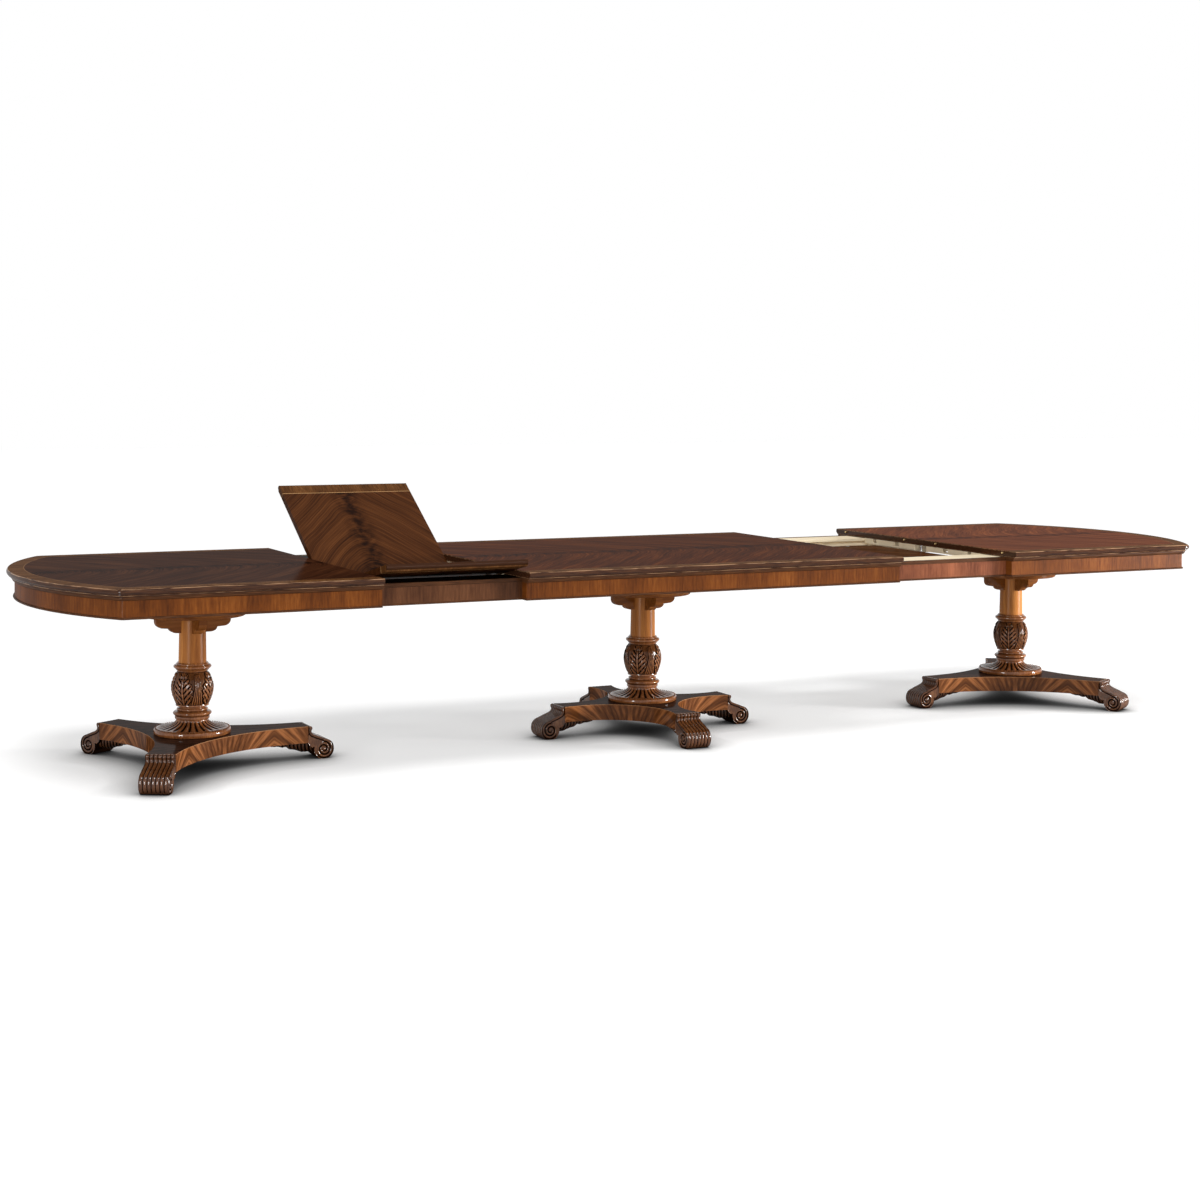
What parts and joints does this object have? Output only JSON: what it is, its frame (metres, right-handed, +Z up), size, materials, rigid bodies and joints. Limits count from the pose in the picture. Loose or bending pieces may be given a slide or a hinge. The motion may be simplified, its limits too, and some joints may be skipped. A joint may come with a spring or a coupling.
{
  "type": "extending pedestal dining table",
  "caption": "Extending pedestal dining table with bowed ends, sliding end sections, folding self-storing leaves and carved columns on scroll-footed plinths.",
  "frame": {"origin": "on the floor under the middle of the centre section", "axes": "+X along the table towards the section with the stored leaf, +Y across the table towards the raised leaf half, +Z up"},
  "size_m": [5.2256, 1.38, 1.0292],
  "materials": {
    "top_veneer": "dark swirl mahogany veneer with a lighter crossbanded border, semi-gloss",
    "leaf_veneer": "dark swirl mahogany veneer, crossbanded along its outer edge, semi-gloss",
    "apron_veneer": "vertical-grain mahogany veneer, semi-gloss",
    "well_apron_veneer": "vertical-grain mahogany veneer, duller than the section aprons",
    "pale_rail_wood": "bare pale hardwood, satin",
    "shaft_wood": "honey brown mahogany, semi-gloss",
    "carved_wood": "carved mahogany, dark glaze in the hollows, gloss on the high parts",
    "plinth_veneer": "flame mahogany veneer, semi-gloss",
    "steel": "plain bright steel",
    "brass": "plain brass"
  },
  "bodies": {
    "centre": {"centre_top": "top_veneer", "centre_apron_front": "apron_veneer", "centre_apron_back": "apron_veneer", "centre_rails": "pale_rail_wood", "centre_bearers": "pale_rail_wood", "left_well_apron_front": "well_apron_veneer", "left_well_apron_back": "well_apron_veneer", "right_well_apron_front": "well_apron_veneer", "right_well_apron_back": "well_apron_veneer", "well_planks": "pale_rail_wood", "well_guides": "steel", "well_straps": "steel", "right_carrier": "steel", "right_leaf_lower": "leaf_veneer", "right_leaf_upper": "leaf_veneer", "right_leaf_hinges": "brass", "centre_head": "shaft_wood", "centre_shaft": "shaft_wood", "centre_vase": "carved_wood", "centre_bell": "carved_wood", "centre_plinth": "plinth_veneer", "centre_feet": "carved_wood", "centre_tie_rod": "steel"},
    "left_lift": {"left_carrier": "steel", "left_leaf_pins": "brass"},
    "left_stays": {"left_leaf_stays": "steel"},
    "left_back": {"left_leaf_back": "leaf_veneer", "left_leaf_back_hinges": "brass"},
    "left_front": {"left_leaf_front": "leaf_veneer", "left_leaf_front_hinges": "brass"},
    "left_end": {"left_top": "top_veneer", "left_apron_front": "apron_veneer", "left_apron_back": "apron_veneer", "left_apron_bow": "apron_veneer", "left_rails": "pale_rail_wood", "left_runners": "pale_rail_wood", "left_bearers": "pale_rail_wood", "left_pins": "brass", "left_head": "shaft_wood", "left_shaft": "shaft_wood", "left_vase": "carved_wood", "left_bell": "carved_wood", "left_plinth": "plinth_veneer", "left_feet": "carved_wood", "left_tie_rod": "steel"},
    "right_end": {"right_top": "top_veneer", "right_apron_front": "apron_veneer", "right_apron_back": "apron_veneer", "right_apron_bow": "apron_veneer", "right_rails": "pale_rail_wood", "right_runners": "pale_rail_wood", "right_bearers": "pale_rail_wood", "right_pins": "brass", "right_head": "shaft_wood", "right_shaft": "shaft_wood", "right_vase": "carved_wood", "right_bell": "carved_wood", "right_plinth": "plinth_veneer", "right_feet": "carved_wood", "right_tie_rod": "steel"}
  },
  "joints": [
    {"name": "right_end_slide", "type": "slide", "parent": "centre", "child": "right_end", "axis": [-1, 0, 0], "range_m": [0, 0.576]},
    {"name": "left_end_slide", "type": "slide", "parent": "centre", "child": "left_end", "axis": [1, 0, 0], "range_m": [0, 0.01]},
    {"name": "left_leaf_unfold", "type": "hinge", "parent": "left_lift", "child": "left_stays", "pos_m": [0, 0, 0.662], "axis": [1, 0, 0], "range_deg": [-32.5, 0]},
    {"name": "left_leaf_fold", "type": "hinge", "parent": "left_stays", "child": "left_back", "pos_m": [0, 0, 0.662], "axis": [1, 0, 0], "range_deg": [0, 133]},
    {"name": "left_leaf_lift", "type": "slide", "parent": "centre", "child": "left_lift", "axis": [0, 0, 1], "range_m": [0, 0.1]},
    {"name": "left_front_tilt", "type": "hinge", "parent": "left_lift", "child": "left_front", "pos_m": [0, 0, 0.662], "axis": [1, 0, 0], "range_deg": [0, 12.5]}
  ],
  "couplings": [
    {"joint": "left_leaf_lift", "follows": "left_leaf_unfold", "m_per_rad": -0.1762},
    {"joint": "left_front_tilt", "follows": "left_leaf_unfold", "ratio": -0.3846}
  ]
}
